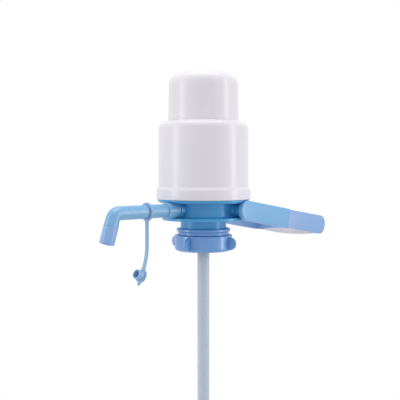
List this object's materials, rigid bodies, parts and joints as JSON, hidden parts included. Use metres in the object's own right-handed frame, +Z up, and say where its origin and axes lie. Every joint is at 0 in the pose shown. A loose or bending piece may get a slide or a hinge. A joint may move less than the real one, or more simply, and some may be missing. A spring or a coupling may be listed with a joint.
{
  "type": "water jug hand pump",
  "caption": "Hand pump for a large water jug: a sprung press cap over a bellows, a swivelling spout with a tethered plug, a carry handle and a neck clamp with a dip tube.",
  "frame": {"origin": "on the pump's axis, in the plane where the rim of the jug's neck seals against the neck gasket", "axes": "+Z up along the pump's axis, -X out along the spout, +X out along the handle"},
  "size_m": [0.3233, 0.114, 0.662],
  "materials": {
    "white_plastic": "smooth white polypropylene, softly glossy",
    "light_blue_plastic": "light blue moulded plastic, satin to gloss",
    "violet_blue_plastic": "blue plastic with a little violet, satin",
    "milky_tube": "translucent milky tube",
    "silicone": "translucent silicone rubber",
    "steel": "plain stainless steel"
  },
  "bodies": {
    "base": {"pump_body": "light_blue_plastic", "guide_cup": "white_plastic", "lock_band": "white_plastic", "deck_plate": "white_plastic", "deck_screws": "steel", "deck_gasket": "silicone", "water_riser": "white_plastic", "bellows": "silicone", "return_spring": "steel", "bellows_clamp_lower": "steel", "neck_clamp": "violet_blue_plastic", "neck_gasket": "silicone", "dip_tube_upper": "milky_tube", "tube_coupler": "white_plastic", "dip_tube_lower": "milky_tube", "tube_foot": "white_plastic", "spout_oring": "silicone", "handle_pivots": "steel"},
    "press": {"press_cap": "white_plastic", "pusher_plate": "white_plastic", "pusher_screws": "steel", "bellows_clamp_upper": "steel"},
    "intake": {"intake_valve": "silicone"},
    "outlet": {"outlet_valve": "silicone"},
    "nut": {"collar_nut": "violet_blue_plastic"},
    "spout": {"spout_pipe": "light_blue_plastic", "spout_ferrule": "light_blue_plastic", "spout_nozzle": "violet_blue_plastic"},
    "plug": {"plug_strap": "light_blue_plastic"},
    "handle": {"handle_sleeve_front": "light_blue_plastic", "handle_sleeve_rear": "light_blue_plastic", "handle_bow": "violet_blue_plastic", "handle_grip": "white_plastic"}
  },
  "joints": [
    {"name": "press_slide", "type": "slide", "parent": "base", "child": "press", "axis": [0, 0, -1], "range_m": [0, 0.046], "stiffness_N_per_m": 500, "springref_m": -0.02, "deforming": ["bellows", "return_spring"]},
    {"name": "intake_lift", "type": "slide", "parent": "press", "child": "intake", "axis": [0, 0, -1], "range_m": [0, 0.0012], "stiffness_N_per_m": 10, "springref_m": -0.0008},
    {"name": "outlet_lift", "type": "slide", "parent": "base", "child": "outlet", "axis": [0, 0, -1], "range_m": [0, 0.0012], "stiffness_N_per_m": 10, "springref_m": -0.0008},
    {"name": "nut_turn", "type": "hinge", "parent": "base", "child": "nut", "pos_m": [0, 0, -0.0144], "axis": [0, 0, 1], "range_deg": [0, 120]},
    {"name": "spout_swivel", "type": "hinge", "parent": "base", "child": "spout", "pos_m": [-0.08, 0, 0.0261], "axis": [1, 0, 0], "range_deg": [-90, 90]},
    {"name": "strap_swing", "type": "hinge", "parent": "spout", "child": "plug", "pos_m": [-0.0893, 0, 0.0261], "axis": [1, 0, 0], "range_deg": [-110, 110]},
    {"name": "handle_swing", "type": "hinge", "parent": "base", "child": "handle", "pos_m": [0.018, 0, 0.0251], "axis": [0, -1, 0], "range_deg": [0, 13]}
  ]
}
